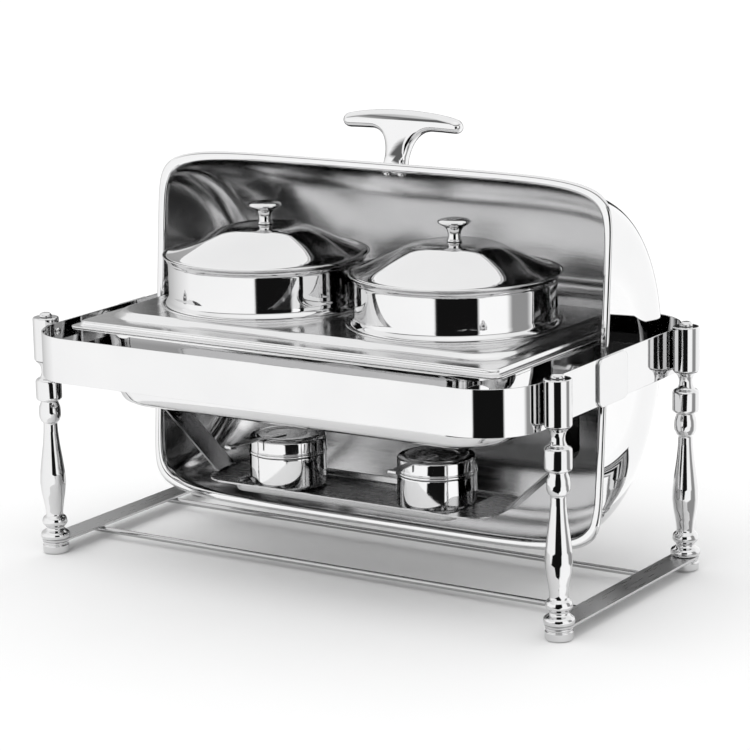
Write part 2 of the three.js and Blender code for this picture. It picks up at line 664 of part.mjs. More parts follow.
function handleOutline() {
  const shape = new THREE.Shape();
  shape.moveTo(-11.5, -8);
  shape.lineTo(11.5, -8);
  shape.lineTo(11.5, 18);
  shape.bezierCurveTo(12.5, 34, 20, 48.5, 38, 48.5);
  shape.bezierCurveTo(48, 48.5, 58, 48.2, 66, 48);
  shape.bezierCurveTo(73, 48, 74.5, 56, 67, 59);
  shape.bezierCurveTo(48, 63.5, 22, 65, 0, 65);
  shape.bezierCurveTo(-22, 65, -48, 63.5, -67, 59);
  shape.bezierCurveTo(-74.5, 56, -73, 48, -66, 48);
  shape.bezierCurveTo(-58, 48.2, -48, 48.5, -38, 48.5);
  shape.bezierCurveTo(-20, 48.5, -12.5, 34, -11.5, 18);
  shape.closePath();
  return shape;
}

function makeHandle(envelope) {
  const bevel = 5;
  const depth = 6;
  const geometry = new THREE.ExtrudeGeometry(handleOutline(), {
    depth, bevelEnabled: true, bevelThickness: bevel, bevelSize: bevel, bevelOffset: -bevel + 2.2, bevelSegments: 2,
    curveSegments: 4,
  });
  geometry.translate(0, 0, -depth / 2);
  geometry.rotateX(Math.PI / 2);
  return cut(facingOut(atHandleRoot(geometry)), envelope, ...handleScrewTools(2.3, -6, 11));
}

function handleScrewTools(radius, bottom, top) {
  return [-HANDLE_SCREW_X, HANDLE_SCREW_X].map((x) => atHandleRoot(pinZ(radius, x, 0, bottom, top, 12)));
}

function makeCoverArm(side, sign) {
  const shape = new THREE.Shape();
  const back = COVER_DROP + ARM_REACH;
  shape.moveTo(back, -ARM_HALF_WIDTH);
  shape.lineTo(back, ARM_HALF_WIDTH);
  shape.lineTo(0, ARM_HALF_WIDTH);
  shape.absarc(0, 0, ARM_HALF_WIDTH, Math.PI / 2, 1.5 * Math.PI);
  shape.holes.push(new THREE.Path().absarc(0, 0, PIVOT_R + GAP, 0, 2 * Math.PI));
  const plate = slab(shape, 0, ARM_THICKNESS);
  plate.rotateY(Math.PI / 2);
  plate.rotateX(Math.PI / 2);
  plate.translate(sign > 0 ? ARM_INNER_X : -ARM_INNER_X - ARM_THICKNESS, 0, 0);
  const [x0, x1] = [sign * (SHELL_X + GAP), sign * (ARM_INNER_X + 1)];
  const foot = box(
    [Math.min(x0, x1), COVER_DROP + 12, -ARM_HALF_WIDTH],
    [Math.max(x0, x1), back, ARM_HALF_WIDTH],
  );
  piece(`cover_arm_${side}`, join(plate, foot), 'polished', cover);
}

function makeCover() {
  const shell = cut(coverShell(), ...handleScrewTools(2.5, -7, 6));
  piece('cover_shell', shell, 'polished', cover);
  piece('cover_handle', makeHandle(coverEnvelope()), 'polished', cover);
  for (const [side, sign] of SIDES) {
    makeCoverArm(side, sign);
    const x = sign * HANDLE_SCREW_X;
    const screw = join(pinZ(2, x, 0, -3, 10, 12), pinZ(3.6, x, 0, -4.6, -2.3, 12));
    piece(`handle_screw_${side}`, facingOut(atHandleRoot(screw)), 'polished', cover);
  }
}

// ---------------------------------------------------------------- assembly

makeBand();
for (const [corner, signX, signY] of CORNERS) makeLeg(corner, signX, signY);
makeCrossRod('front', -ROD_Y);
makeCrossRod('rear', ROD_Y);
makeWaterPan();
makeAdapterPlate();
makeFuelTray();
for (const [side, sign] of SIDES) {
  makeSideBar(side, sign);
  makePivot(side, sign);
  makePanBracket(side, sign);
  makeHangerRivet(side, sign);
  makeBurner(side, sign);
  makePot(side, sign);
}
makeCover();

export default chafer;
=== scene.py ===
import json
import math

import bmesh
import bpy
from mathutils import Matrix, Vector


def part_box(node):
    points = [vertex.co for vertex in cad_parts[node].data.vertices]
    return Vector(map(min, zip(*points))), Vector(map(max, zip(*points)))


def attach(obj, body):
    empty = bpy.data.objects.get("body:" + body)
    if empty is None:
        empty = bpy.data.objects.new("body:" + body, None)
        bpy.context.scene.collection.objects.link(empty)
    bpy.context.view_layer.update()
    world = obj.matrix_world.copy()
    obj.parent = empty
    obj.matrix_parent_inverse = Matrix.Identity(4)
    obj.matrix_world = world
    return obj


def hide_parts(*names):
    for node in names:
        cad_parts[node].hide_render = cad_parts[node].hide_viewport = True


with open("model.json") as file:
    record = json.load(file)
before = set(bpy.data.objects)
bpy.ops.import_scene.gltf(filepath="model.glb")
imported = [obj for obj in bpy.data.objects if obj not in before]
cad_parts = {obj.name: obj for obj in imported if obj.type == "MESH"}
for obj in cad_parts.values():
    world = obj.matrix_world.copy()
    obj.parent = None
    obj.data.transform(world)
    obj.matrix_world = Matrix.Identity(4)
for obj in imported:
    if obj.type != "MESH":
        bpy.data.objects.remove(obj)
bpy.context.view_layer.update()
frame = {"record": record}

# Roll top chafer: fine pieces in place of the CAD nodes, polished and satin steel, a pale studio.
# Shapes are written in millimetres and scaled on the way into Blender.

MM = 0.001
GAP = 0.3                        # clearance between neighbouring pieces
SHEET = 1.5                      # thickness of the band, the pots and the cover
SHARP = 0.01                     # an edge as good as sharp, whose points still differ
WELD, SLIVER = 1e-6, 1e-7        # in metres: nearer points are merged, thinner faces removed
FINE = 96                        # steps round a turned piece
BORE = 3.3                       # radius of the holes for the legs' studs
SHAFT_HOLE = 5.3                 # radius of the holes for the pivot shafts
SIDES = {"left": -1, "right": 1}
CORNERS = {
    "front_left": (-1, -1),
    "front_right": (1, -1),
    "rear_left": (-1, 1),
    "rear_right": (1, 1),
}


# ------------------------------------------------------------------ measures taken from the frame

def box_mm(node):
    low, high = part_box(node)
    return low / MM, high / MM


def centre_mm(node):
    low, high = box_mm(node)
    return (low + high) / 2


joints = {joint["name"]: joint for joint in frame["record"]["behaviour"]["joints"]}
PIVOT_Z = joints["cover_roll"]["pos_m"][2] / MM
COVER_LEAN = math.radians(-joints["cover_roll"]["range_deg"][0] - 90)

leg_head_low, leg_head_high = box_mm("leg_head_front_right")
LEG = centre_mm("leg_head_front_right")
LEG_X, LEG_Y = LEG.x, -LEG.y
band_low, band_high = box_mm("frame_band")
pan_low, pan_high = box_mm("water_pan")
tray_low, tray_high = box_mm("fuel_tray")
POT_X = centre_mm("lid_knob_right").x
BURNER = centre_mm("burner_body_right")


# ------------------------------------------------------------------ mesh helpers

def toward(point, other, size):
    """The point moved towards another by the size, but never past the middle between them."""
    length = math.dist(point, other)
    return point + (other - point) * (min(size, 0.48 * length) / length) if length else point


def corner_rounded(points, size, steps=4, closed=False):
    """Replaces each corner of a path by a small curve. Points may have any number of coordinates."""
    points = [Vector(p) for p in points]
    count = len(points)
    out = []
    for i, point in enumerate(points):
        if not closed and i in (0, count - 1):
            out.append(point)
            continue
        start = toward(point, points[i - 1], size)
        end = toward(point, points[(i + 1) % count], size)
        for step in range(steps + 1):
            t = step / steps
            out.append(start * (1 - t) ** 2 + point * (2 * t * (1 - t)) + end * t ** 2)
    return out


ORIGIN = Matrix.Identity(4)
IN_XZ = Matrix.Rotation(math.pi / 2, 4, "X")                # stands a flat outline up, facing -Y
IN_YZ = Matrix.Rotation(math.pi / 2, 4, "Z") @ IN_XZ        # stands a flat outline up, facing +X


def shade(mesh, smooth):
    mesh.polygons.foreach_set("use_smooth", [smooth] * len(mesh.polygons))


def make_piece(name, verts, faces, materials, place=ORIGIN, zones=None):
    """A mesh object from millimetre coordinates. zones gives each face its material's index."""
    mesh = bpy.data.meshes.new(name)
    mesh.from_pydata([(place @ Vector(v)) * MM for v in verts], [], faces)
    for material in materials:
        mesh.materials.append(material)
    if zones:
        mesh.polygons.foreach_set("material_index", zones)
    work = bmesh.new()
    work.from_mesh(mesh)
    bmesh.ops.remove_doubles(work, verts=work.verts, dist=WELD)
    bmesh.ops.dissolve_degenerate(work, edges=work.edges, dist=SLIVER)
    bmesh.ops.recalc_face_normals(work, faces=work.faces)
    work.to_mesh(mesh)
    work.free()
    shade(mesh, True)
    piece = bpy.data.objects.new(name, mesh)
    bpy.context.scene.collection.objects.link(piece)
    return piece


def fair(piece):
    """Keeps flat areas flat in the shading beside narrow rounded edges."""
    modifier = piece.modifiers.new("fair normals", "WEIGHTED_NORMAL")
    modifier.weight = 60
    return piece


def hand_in(piece, body, slot, *nodes):
    """Makes the piece stand for the CAD nodes and ride with their body."""
    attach(piece, body)
    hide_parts(*nodes)


def grid_faces(rows, columns, wrap):
    faces = []
    for i in range(rows - 1):
        for j in range(columns if wrap else columns - 1):
            k = (j + 1) % columns
            faces.append((i * columns + j, i * columns + k, (i + 1) * columns + k, (i + 1) * columns + j))
    return faces


def lathe_mesh(profile, segments=FINE):
    """Turns [radius, z] pairs about +Z."""
    verts = []
    for radius, z in profile:
        for step in range(segments):
            angle = 2 * math.pi * step / segments
            verts.append((radius * math.cos(angle), radius * math.sin(angle), z))
    return verts, grid_faces(len(profile), segments, True)


def turned(name, profile, material, place, fillet, segments=FINE, closed=False):
    """A piece turned about +Z from its half section, whose corners the fillet rounds."""
    smooth = corner_rounded(profile, fillet, closed=closed)
    if closed:
        smooth.append(smooth[0])
    verts, faces = lathe_mesh(smooth, segments)
    return fair(make_piece(name, verts, faces, [material], place))


def at(x, y, z=0.0):
    return Matrix.Translation((x, y, z))


def along_x(x, y, z):
    """Turns a piece made along +Z to lie along +X, with its own origin at x, y, z."""
    return at(x, y, z) @ Matrix.Rotation(math.pi / 2, 4, "Y")


def rod_profile(radius, length, edge, hole=0):
    """The half section of a rod, or of a tube where there is a hole, with its edges taken off."""
    flat = radius - edge
    return [(hole, 0), (flat, 0), (radius, edge), (radius, length - edge), (flat, length), (hole, length)]


def rectangle_loop(half_x, half_y, radius, z, steps):
    loop = []
    for quarter, (sx, sy) in enumerate(((1, 1), (-1, 1), (-1, -1), (1, -1))):
        for step in range(steps + 1):
            angle = (quarter + step / steps) * math.pi / 2
            x = sx * (half_x - radius) + radius * math.cos(angle)
            y = sy * (half_y - radius) + radius * math.sin(angle)
            loop.append((x, y, z))
    return loop


def lofted(name, rows, material, fillet, steps=14, closed=False):
    """Joins rounded rectangles [half_x, half_y, radius, z]; open ends are closed with a face."""
    smooth = corner_rounded(rows, fillet, 3, closed)
    if closed:
        smooth.append(smooth[0])
    verts = [point for row in smooth for point in rectangle_loop(*row, steps)]
    columns = 4 * (steps + 1)
    faces = grid_faces(len(smooth), columns, True)
    if not closed:
        faces.append(tuple(range(columns)))
        faces.append(tuple(range(len(verts) - columns, len(verts))))
    return fair(make_piece(name, verts, faces, [material]))


def prism(name, outline, thickness, material, place, edge):
    """A flat plate: the outline in its own XY plane, from z = 0 to the thickness, with rounded edges."""
    count = len(outline)
    verts = [(x, y, 0) for x, y in outline] + [(x, y, thickness) for x, y in outline]
    faces = [(i, (i + 1) % count, count + (i + 1) % count, count + i) for i in range(count)]
    faces += [tuple(range(count)), tuple(range(count, 2 * count))]
    piece = make_piece(name, verts, faces, [material], place)
    bevel = piece.modifiers.new("rounded edges", "BEVEL")
    bevel.width = edge * MM
    bevel.segments = 3
    bevel.angle_limit = math.radians(40)
    return fair(piece)


def rounded_outline(half_x, half_y, radius, steps=12):
    return [(x, y) for x, y, _ in rectangle_loop(half_x, half_y, radius, 0, steps)]


def block(low, high):
    xs, ys, zs = zip(low, high)
    verts = [(x, y, z) for x in xs for y in ys for z in zs]
    faces = [(0, 1, 3, 2), (4, 6, 7, 5), (0, 4, 5, 1), (2, 3, 7, 6), (0, 2, 6, 4), (1, 5, 7, 3)]
    return verts, faces


def cut_away(piece, cutter):
    """Cuts another piece's volume out of this one and removes the cutter."""
    modifier = piece.modifiers.new("cut", "BOOLEAN")
    modifier.operation = "DIFFERENCE"
    modifier.solver = "EXACT"
    modifier.object = cutter
    with bpy.context.temp_override(object=piece, active_object=piece):
        bpy.ops.object.modifier_move_to_index(modifier="cut", index=0)
        bpy.ops.object.modifier_apply(modifier="cut")
    bpy.data.objects.remove(cutter, do_unlink=True)


def drill(piece, radius, length, segments, place):
    """Cuts a round hole of the given length along the place's own +Z axis."""
    verts, faces = lathe_mesh(rod_profile(radius, length, SHARP), segments)
    cut_away(piece, make_piece("drill", verts, faces, list(piece.data.materials), place))


# ------------------------------------------------------------------ materials

def new_material(name):
    material = bpy.data.materials.new(name)
    material.use_nodes = True
    nodes = material.node_tree.nodes
    return material, nodes, material.node_tree.links, nodes["Principled BSDF"]


def noise_node(nodes, links, scale, stretch, detail=3.0):
    """Noise in the object's own coordinates, stretched along the axes as given."""
    coordinates = nodes.new("ShaderNodeTexCoord")
    mapping = nodes.new("ShaderNodeMapping")
    mapping.inputs["Scale"].default_value = stretch
    texture = nodes.new("ShaderNodeTexNoise")
    texture.inputs["Scale"].default_value = scale
    texture.inputs["Detail"].default_value = detail
    links.new(coordinates.outputs["Object"], mapping.inputs["Vector"])
    links.new(mapping.outputs["Vector"], texture.inputs["Vector"])
    return texture.outputs["Fac"]


def mapped(nodes, links, source, start, end, low=0.0, high=1.0):
    """Maps a value from the range start to end onto the range low to high."""
    node = nodes.new("ShaderNodeMapRange")
    node.inputs["From Min"].default_value = start
    node.inputs["From Max"].default_value = end
    node.inputs["To Min"].default_value = low
    node.inputs["To Max"].default_value = high
    links.new(source, node.inputs["Value"])
    return node.outputs["Result"]


def tint(nodes, links, source, dark, light):
    node = nodes.new("ShaderNodeMix")
    node.data_type = "RGBA"
    node.inputs["A"].default_value = (*dark, 1)
    node.inputs["B"].default_value = (*light, 1)
    links.new(source, node.inputs["Factor"])
    return node.outputs["Result"]


def bumped(nodes, links, height, strength, distance, normal=None):
    """The surface's normal as the height tilts it, on top of another normal if one is given."""
    node = nodes.new("ShaderNodeBump")
    node.inputs["Strength"].default_value = strength
    node.inputs["Distance"].default_value = distance
    links.new(height, node.inputs["Height"])
    if normal is not None:
        links.new(normal, node.inputs["Normal"])
    return node.outputs["Normal"]


EVEN = (1, 1, 1)
CLOUD_SCALE, WAVE_SCALE = 14.0, 9.0
GRAIN_DEPTH, WAVE_DEPTH = 0.0002, 0.001      # in metres
NOISE_RANGE = (0.3, 0.7)                     # where most of a noise texture's values lie
BLUER = 0.005                                # added to the blue of each dark tone


def steel(name, dark, light, rough, grain_scale, grain_stretch, grain_bump, wave_bump=0.0):
    """Stainless steel: grain in its roughness and surface, clouds in its colour, slow waviness.

    dark and light are the tones that it varies between, and rough is its range of roughness.
    """
    material, nodes, links, shader = new_material(name)
    shader.inputs["Metallic"].default_value = 1.0
    grain = noise_node(nodes, links, grain_scale, grain_stretch)
    cloud = noise_node(nodes, links, CLOUD_SCALE, EVEN, 2.0)
    colour = tint(nodes, links, cloud, (dark, dark, dark + BLUER), (light, light, light))
    links.new(colour, shader.inputs["Base Color"])
    links.new(mapped(nodes, links, grain, *NOISE_RANGE, *rough), shader.inputs["Roughness"])
    normal = None
    if wave_bump:
        wave = noise_node(nodes, links, WAVE_SCALE, EVEN, 1.0)
        normal = bumped(nodes, links, wave, wave_bump, WAVE_DEPTH)
    normal = bumped(nodes, links, grain, grain_bump, GRAIN_DEPTH, normal)
    links.new(normal, shader.inputs["Normal"])
    return material


MIRROR = steel("mirror_steel", 0.69, 0.75, (0.02, 0.05), 900, EVEN, 0.01, 0.05)
TURNED = steel("turned_steel", 0.64, 0.72, (0.03, 0.07), 500, (1, 1, 14), 0.02)
SATIN = steel("satin_plate", 0.68, 0.76, (0.14, 0.22), 420, (0.06, 1, 1), 0.05, 0.05)
INSIDE = steel("satin_cover_inside", 0.74, 0.85, (0.09, 0.15), 380, (0.05, 1, 1), 0.06, 0.08)
TRAY = steel("satin_tray", 0.50, 0.60, (0.20, 0.30), 420, (0.10, 1, 1), 0.025, 0.04)
# The straps' steel is made nearly black: painted shade for their faces, which turn into the shaded space
# inside the band.
SHADED_STRAP = steel("strap_painted_shade", 0.17, 0.24, (0.05, 0.10), 500, (1, 0.06, 1), 0.03)
BAR = steel("satin_bar", 0.56, 0.64, (0.26, 0.36), 600, (1, 0.06, 1), 0.05)
ROD = steel("bright_rod", 0.42, 0.52, (0.06, 0.12), 500, (0.05, 1, 1), 0.03)
CAP = steel("satin_cap", 0.70, 0.74, (0.18, 0.26), 600, EVEN, 0.03)
PLAIN = steel("plain_steel", 0.38, 0.50, (0.12, 0.22), 600, EVEN, 0.05)


# ------------------------------------------------------------------ stand

def turned_part(name, profile, place, node, body="stand", material=TURNED, **shape):
    """A turned piece of polished steel that stands for one CAD node. shape goes to turned()."""
    hand_in(turned(name, profile, material, place, **shape), body, "polished_steel", node)


def for_side(path, sign):
    """A path drawn for the right side, or its mirror image for the left in the same winding."""
    return path if sign > 0 else [(-x, z) for x, z in reversed(path)]


def make_band():
    half_x, half_y = band_high.x, band_high.y
    bottom, top = band_low.z, band_high.z
    corner = 62
    rows = [
        (half_x, half_y, corner, bottom),
        (half_x, half_y, corner, top),
        (half_x - SHEET, half_y - SHEET, corner - SHEET, top),
        (half_x - SHEET, half_y - SHEET, corner - SHEET, bottom),
    ]
    band = lofted("band", rows, MIRROR, fillet=0.5, steps=28, closed=True)
    hand_in(band, "stand", "polished_steel", "frame_band")


# Half section of a leg's turned post, from its bore round the outside to its top.
POST_PROFILE = [
    (0, 31), (BORE, 31), (BORE, 15.9), (15.4, 15.9), (16.2, 19.5), (15.4, 22.6), (11, 25.6), (9.5, 28),
    (11.4, 30.2), (13.7, 32.6), (13.9, 36), (12.6, 39.6), (9.6, 41.8), (9.3, 45), (10.6, 55), (12.7, 66),
    (14, 78), (13.5, 90), (11.6, 105), (9.3, 121), (7.8, 136), (7.4, 146), (9.6, 147.6), (11.6, 152.4),
    (11.9, 158), (11.4, 163.6), (9.6, 168.4), (9.1, 170.6), (12.6, 171.6), (14, 173.6), (14, 193.2),
    (12.4, 195.2), (8.9, 196.8), (7.1, 201), (7.0, 206), (8.4, 210.6), (11.6, 214.2), (13.4, 215.3),
    (0, 215.3),
]


def make_leg(corner, sign_x, sign_y):
    place = at(sign_x * LEG_X, sign_y * LEG_Y)
    turned_part(f"post_{corner}", POST_PROFILE, place, f"leg_post_{corner}", fillet=1.6, segments=64)

    low, high = leg_head_low.z, leg_head_high.z
    radius = 14.1
    head = [
        (0, low), (radius - 1, low), (radius, low + 1), (radius, high - 1), (radius - 1, high),
        (BORE, high), (BORE, high - 12), (0, high - 12),
    ]
    turned_part(f"head_{corner}", head, place, f"leg_head_{corner}", fillet=0.8, segments=64)
    cap = [
        (0, high - 11), (3, high - 11), (3, high + GAP), (6.8, high + GAP), (6.9, high + 1.6),
        (5.8, high + 3.6), (3.4, high + 4.8), (0, high + 5.2),
    ]
    turned_part(f"cap_{corner}", cap, place, f"leg_cap_screw_{corner}", fillet=0.8, segments=48)

    top = 12.8
    ferrule = [
        (0, 0), (13.4, 0), (14.4, 1.2), (14.4, 8.6), (13.2, 9.4), (13.2, 10.2), (14.2, 11), (14, top),
        (3, top), (3, 30), (0, 30),
    ]
    turned_part(f"ferrule_{corner}", ferrule, place, f"foot_ferrule_{corner}", fillet=0.6, segments=64)

    inner_x = band_high.x - SHEET - GAP
    length = 11
    screw = [
        (0, 0), (2.5, 0), (2.5, length - GAP), (2.5, length), (4.2, length), (3.9, length + 1.5),
        (2.6, length + 2.4), (0, length + 2.7),
    ]
    turn = Matrix.Rotation(-sign_x * math.pi / 2, 4, "Y")
    height = centre_mm(f"band_screw_{corner}").z
    where = at(sign_x * (inner_x + length), sign_y * LEG_Y, height) @ turn
    turned_part(f"screw_{corner}", screw, where, f"band_screw_{corner}", fillet=0.8, segments=32)


def make_side_bar(side, sign):
    low, high = box_mm(f"side_bar_{side}")
    half_x = (high.x - low.x) / 2
    outline = rounded_outline(half_x, high.y, half_x - SHARP, 16)
    bar = prism(f"bar_{side}", outline, high.z - low.z, BAR, at(sign * LEG_X, 0, low.z), 0.5)
    for y in (-LEG_Y, LEG_Y):
        drill(bar, BORE, 10, 32, at(sign * LEG_X, y, low.z - 3))
    hand_in(bar, "stand", "satin_steel", f"side_bar_{side}")


def make_cross_rod(name):
    low, high = box_mm(f"cross_rod_{name}")
    middle = (low + high) / 2
    profile = rod_profile((high.z - low.z) / 2, high.x - low.x, 0.8)
    place = along_x(low.x, middle.y, middle.z)
    turned_part(f"rod_{name}", profile, place, f"cross_rod_{name}", material=ROD, fillet=0.6, segments=32)


NUT_SIDES = 6
# For each pivot part its node, material, slot, radius of its hole, edge, and steps round it.
PIVOT_PARTS = [
    ("pivot_bush", TURNED, "polished_steel", SHAFT_HOLE, 1.2, 64),
    ("pivot_shaft", PLAIN, "plain_steel", 0, 0.6, 64),
    ("pivot_nut", TURNED, "polished_steel", SHAFT_HOLE, 0.6, NUT_SIDES),
]


def make_pivot(side):
    low, high = box_mm(f"pivot_cover_plate_{side}")
    outline = rounded_outline(high.y, (high.z - low.z) / 2, 8)
    place = at(low.x, 0, (low.z + high.z) / 2) @ IN_YZ
    plate = prism(f"cover_plate_{side}", outline, high.x - low.x, CAP, place, 0.8)
    hand_in(plate, "stand", "polished_steel", f"pivot_cover_plate_{side}")

    for node, material, slot, hole, edge, segments in PIVOT_PARTS:
        low, high = box_mm(f"{node}_{side}")
        profile = rod_profile((high.z - low.z) / 2, high.x - low.x, edge, hole)
        place = along_x(low.x, 0, PIVOT_Z)
        piece = turned(f"{node}_{side}_fine", profile, material, place, edge, segments, bool(hole))
        if segments == NUT_SIDES:
            shade(piece.data, False)
        hand_in(piece, "stand", slot, f"{node}_{side}")


BEND, STRIP_EDGE = 5, 0.3        # how far a bend reaches from its corner, and a strip's rounded edge


def bent_strip(name, path, half_width, thickness, material, place=ORIGIN):
    """A strip of sheet bent in its XZ plane along a path of outer points, with its width along Y."""
    outer = corner_rounded(path, BEND, 5)
    inner = []
    for i, point in enumerate(outer):
        ahead = outer[min(i + 1, len(outer) - 1)] - outer[max(i - 1, 0)]
        normal = Vector((-ahead[1], ahead[0])).normalized()
        inner.append(point + normal * thickness)
    outline = [(p[0], p[1]) for p in outer + inner[::-1]]
    return prism(name, outline, 2 * half_width, material, place @ at(0, half_width) @ IN_XZ, STRIP_EDGE)


def make_bracket(side, sign):
    low, high = box_mm(f"pan_bracket_{side}")
    reach = high.x - low.x
    height = high.z - low.z
    path = for_side([(reach, height), (0, height), (0, 0)], sign)
    inner_x = low.x if sign > 0 else high.x
    bracket = bent_strip(f"bracket_{side}", path, high.y, 2.5, SATIN, at(inner_x, 0, low.z))
    hand_in(bracket, "stand", "satin_steel", f"pan_bracket_{side}")

    low, high = box_mm(f"hanger_rivet_{side}")
    radius = (high.z - low.z) / 2
    length = high.x - low.x
    rivet = [
        (0, 0), (radius - 1.2, 0.1), (radius, 1.4), (2.2, 1.5), (2.2, length - 1.7),
        (radius, length - 1.6), (radius - 1.2, length - 0.1), (0, length),
    ]
    place = along_x(low.x, 0, (low.z + high.z) / 2)
    turned_part(f"rivet_{side}", rivet, place, f"hanger_rivet_{side}", fillet=0.5, segments=32)


# ------------------------------------------------------------------ fuel tray and burners

def join_pieces(main, *others):
    """Joins other pieces into the first, with their modifiers applied and their materials kept."""
    graph = bpy.context.evaluated_depsgraph_get()
    work = bmesh.new()
    materials = []
    for piece in (main, *others):
        material = piece.data.materials[0]
        if material not in materials:
            materials.append(material)
        done = len(work.faces)
        work.from_mesh(bpy.data.meshes.new_from_object(piece.evaluated_get(graph)))
        work.faces.ensure_lookup_table()
        for face in work.faces[done:]:
            face.material_index = materials.index(material)
    main.data.materials.clear()
    for material in materials:
        main.data.materials.append(material)
    work.to_mesh(main.data)
    work.free()
    main.modifiers.clear()
    for piece in others:
        bpy.data.objects.remove(piece, do_unlink=True)
    return main


def make_tray():
    half_x, half_y = 180, tray_high.y
    top, bottom = 81, tray_low.z
    lip = 0.6
    rows = [
        (131, half_y - 8, 12, bottom), (138, half_y - 1.5, 15, bottom + 0.6),
        (139.6, half_y - 0.6, 16, bottom + 3), (140, half_y - 0.2, 16, top - 2),
        (half_x, half_y + lip, 28, top - 2), (half_x, half_y + lip, 28, top),
        (139.6, half_y - 1.4, 15, top), (138, half_y - 2.2, 14, top - 2),
        (137, half_y - 3, 13.4, bottom + 3), (130, half_y - 9, 11, bottom + 2),
    ]
    tray = lofted("tray", rows, TRAY, fillet=1.2)
    outer_x, bend_z = tray_high.x, 146
    path = [(half_x - 8, top - 2), (half_x + 1, top - 2), (outer_x, bend_z), (outer_x, tray_high.z)]
    # The straps take the near-black steel, whose dark tone is painted shade.
    straps = [
        bent_strip(f"strap_{side}", for_side(path, sign), 17, 2, SHADED_STRAP) for side, sign in SIDES.items()
    ]
    hand_in(fair(join_pieces(tray, *straps)), "stand", "satin_steel", "fuel_tray")


BURNER_RADIUS = 42.2
KEY_SLOT_TURN = math.radians(-4)
DAMPER_TURN = {"left": math.radians(-106), "right": math.radians(-92)}     # where each lever points


def make_burner(side, sign):
    place = at(sign * BURNER.x, BURNER.y)
    bottom = box_mm(f"burner_body_{side}")[0].z
    cap_low, cap_high = box_mm(f"burner_cap_{side}")
    seam, top = cap_low.z, cap_high.z
    radius = BURNER_RADIUS
    neck = radius - 2.8
    body = [
        (0, bottom), (36, bottom), (38.6, bottom + 0.5), (41.4, bottom + 2.2), (radius, bottom + 5),
        (radius, seam - 1.2), (radius - 0.8, seam - 0.6), (neck, seam - 0.5), (neck, 121), (neck - 1.3, 121),
        (neck - 1.3, bottom + 4), (36, bottom + 1.4), (0, bottom + 1.4),
    ]
    turned_part(
        f"burner_{side}_cup", body, place, f"burner_body_{side}", f"burner_{side}", MIRROR, fillet=1.2,
    )
    recess, mouth = 34.6, 25
    cap = [
        (neck + GAP, seam), (radius + 0.6, seam), (radius + 1, seam + 1.2), (radius + 0.8, seam + 2.6),
        (radius - 0.2, seam + 3.2), (radius + 0.6, seam + 4.2), (radius, seam + 5), (radius, top - 1.6),
        (radius - 1.4, top), (recess, top), (recess, top - 1.3), (mouth, top - 1.3), (mouth, top - 2.7),
        (radius - 1.4, top - 2.7), (radius - 1.4, seam + 4.2), (neck + GAP, seam + 3.6),
    ]
    lid = turned(f"burner_{side}_lid", cap, MIRROR, place, fillet=0.7, closed=True)
    slot = block((-0.7, -radius - 3, 120), (0.7, -radius + 3.5, top + 2))
    slot_place = place @ Matrix.Rotation(KEY_SLOT_TURN, 4, "Z")
    cut_away(lid, make_piece("slot_tool", *slot, [PLAIN], slot_place))
    hand_in(lid, f"burner_cap_{side}", "polished_steel", f"burner_cap_{side}")
    make_damper(side, place, top)


def make_damper(side, place, cap_top):
    """The disc over the burner's mouth and its lever, made at the origin and then put in place."""
    bottom = cap_top - 1
    lever = cap_top + GAP
    disc = [
        (0, bottom), (33.4, bottom), (34, bottom + 0.5), (34, lever + 0.5), (32.6, lever + 1.2),
        (24, lever + 0.7), (22, lever + 0.3), (0, lever + 0.1),
    ]
    reach = 84
    path = [
        (6, lever), (reach - 13, lever), (reach - 7, lever - 3.4), (reach, lever - 2.6),
        (reach - 0.6, lever + 1.6), (reach - 6, lever + 1.4),
    ]
    plate = turned("disc", disc, PLAIN, ORIGIN, fillet=0.5)
    damper = join_pieces(plate, bent_strip("lever", path, 5, 1.2, CAP))
    damper.name = f"damper_{side}"
    turn = Matrix.Rotation(DAMPER_TURN[side], 4, "Z")
    damper.data.transform(Matrix.Scale(MM, 4) @ place @ turn @ Matrix.Scale(1 / MM, 4))
    hand_in(fair(damper), f"burner_damper_{side}", "plain_steel", f"burner_damper_{side}")


# ------------------------------------------------------------------ pan, plate, pots and lids

def make_pan():
    half_x, half_y = pan_high.x, pan_high.y
    bottom, rim = pan_low.z, 260
    wall = 1.2
    rows = [
        (200, 110, 30, bottom), (226, 133, 44, bottom), (236, 143, 53, bottom + 5),
        (240.6, 147, 56, bottom + 15), (246.6, 152.6, 58, rim - 6), (248.4, 154, 58, rim - 1),
        (251, 155.4, 58, rim), (half_x, half_y, 11, rim), (half_x, half_y, 11, rim + 1.1),
        (250.4, 155.2, 58, rim + 1.1), (247.2, 152.8, 57, rim - 1.2),
        (246.6 - wall, 152.6 - wall, 57, rim - 6), (240.6 - wall, 147 - wall, 55, bottom + 15.6),
        (236 - wall, 143 - wall, 52, bottom + 6), (226, 133, 44, bottom + wall),
        (200, 110, 30, bottom + wall),
    ]
    pan = lofted("pan", rows, MIRROR, fillet=4, steps=18)
    hand_in(pan, "water_pan", "polished_steel", "water_pan")


